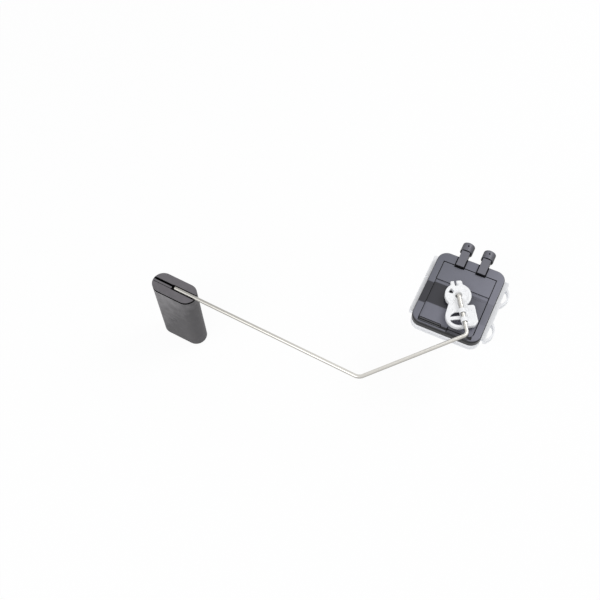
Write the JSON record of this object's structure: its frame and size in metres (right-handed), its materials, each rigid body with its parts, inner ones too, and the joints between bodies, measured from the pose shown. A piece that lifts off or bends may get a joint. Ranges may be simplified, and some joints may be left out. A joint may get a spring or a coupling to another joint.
{
  "type": "fuel level sender",
  "caption": "Sealed fuel level sender: a foam float on a bent wire arm turns a magnet inside a flat moulded housing with socketed terminals.",
  "frame": {"origin": "on the arm's pivot axis, at the housing's flat back face", "axes": "+Z out of the housing's front face along the pivot axis, +Y towards the two terminals, the wire leaves towards -X and -Y"},
  "size_m": [0.2045, 0.1184, 0.0576],
  "materials": {
    "cover_plastic": "charcoal moulded, satin gloss",
    "base_plastic": "white moulded, slightly bluish",
    "terminal_plastic": "black moulded",
    "holder_plastic": "white acetal, satin",
    "wire_steel": "drawn wire, bright",
    "float_foam": "charcoal closed-cell foam, matt",
    "seal_rubber": "black, matt",
    "contact_brass": "bright",
    "card_ceramic": "sintered ceramic, matt",
    "track_film": "printed resistor film",
    "spacer_film": "amber film",
    "comb_iron": "soft iron sheet",
    "magnet": "ground magnet, dark grey"
  },
  "bodies": {
    "housing": {"front_cover": "cover_plastic", "base_frame": "base_plastic", "perimeter_seal": "seal_rubber", "pivot_bush": "contact_brass", "shaft_seal": "seal_rubber", "terminal_post_left": "terminal_plastic", "terminal_post_right": "terminal_plastic", "terminal_pin_left": "contact_brass", "terminal_pin_right": "contact_brass", "pin_seal_left": "seal_rubber", "pin_seal_right": "seal_rubber", "lead_left": "contact_brass", "lead_right": "contact_brass", "resistor_card": "card_ceramic", "resistor_track": "track_film", "comb_spacer": "spacer_film", "contact_comb": "comb_iron"},
    "arm": {"arm_holder": "holder_plastic", "float_arm": "wire_steel", "float": "float_foam", "magnet_carrier": "terminal_plastic", "sensing_magnet": "magnet"}
  },
  "joints": [
    {"name": "arm_pivot", "type": "hinge", "parent": "housing", "child": "arm", "pos_m": [0, 0, 0.014], "axis": [0, 0, 1], "range_deg": [-58, 22]}
  ]
}
